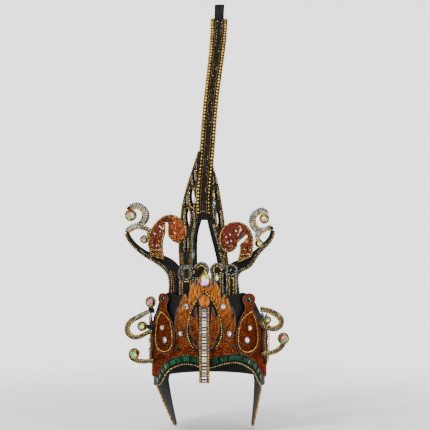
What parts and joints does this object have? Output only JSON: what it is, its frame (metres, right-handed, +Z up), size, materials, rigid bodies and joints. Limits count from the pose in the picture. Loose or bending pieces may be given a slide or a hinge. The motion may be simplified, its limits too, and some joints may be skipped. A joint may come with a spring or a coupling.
{
  "type": "carnival headdress",
  "caption": "Open-faced cap with ear flaps, a leaf diadem with stones and bead edging, scrolled arms, and a tall swept-back spire on openwork legs.",
  "frame": {"origin": "where the inside top of the cap sits on the crown of the head", "axes": "+Z up, the face looks along -Y, +X to the wearer's left"},
  "size_m": [0.2672, 0.229, 0.709],
  "materials": {
    "black_felt": "matte black felted lining",
    "black_foam": "matte black craft foam",
    "copper": "brushed metallic copper with fine glitter",
    "maroon": "dark red glitter",
    "rust_beads": "rust and copper beadwork",
    "rope": "gold and silver rope braid",
    "gold_beads": "polished gold beads",
    "clear_stone": "clear cut crystal",
    "rainbow_stone": "cut crystal with a rainbow coating",
    "green_stone": "emerald green cut stone",
    "grey_stone": "smoky grey step-cut stone"
  },
  "bodies": {
    "root": {"skull_cap": "black_felt", "diadem_backing": "black_foam", "diadem_face": "copper", "leaf_top": "copper", "medallion": "black_foam", "strip": "maroon", "bud": "maroon", "baguettes": "grey_stone", "crystal": "rainbow_stone", "brow_string": "gold_beads", "front_strings": "gold_beads", "spire_core": "black_foam", "emeralds_left": "green_stone", "emeralds_right": "green_stone", "leaf_flame_left": "copper", "leaf_gem_left": "copper", "leaf_low_left": "copper", "inner_leaves_left": "copper", "lobe_left": "copper", "side_leaf_left": "copper", "leaf_stones_left": "clear_stone", "lobe_stones_left": "clear_stone", "side_stones_left": "clear_stone", "side_strings_left": "gold_beads", "blade_left": "black_foam", "spire_string_left": "gold_beads", "leg_left": "black_foam", "loop_plate_left": "black_foam", "arm_left": "black_foam", "curl_left": "rope", "curl_stones_left": "rainbow_stone", "paisley_left": "rust_beads", "side_loop_left": "rope", "loop_stones_left": "rainbow_stone", "side_hook_left": "rope", "hook_stone_left": "rainbow_stone", "leaf_flame_right": "copper", "leaf_gem_right": "copper", "leaf_low_right": "copper", "inner_leaves_right": "copper", "lobe_right": "copper", "side_leaf_right": "copper", "leaf_stones_right": "clear_stone", "lobe_stones_right": "clear_stone", "side_stones_right": "clear_stone", "side_strings_right": "gold_beads", "blade_right": "black_foam", "spire_string_right": "gold_beads", "leg_right": "black_foam", "loop_plate_right": "black_foam", "arm_right": "black_foam", "curl_right": "rope", "curl_stones_right": "rainbow_stone", "paisley_right": "rust_beads", "side_loop_right": "rope", "loop_stones_right": "rainbow_stone", "side_hook_right": "rope", "hook_stone_right": "rainbow_stone"}
  },
  "joints": []
}
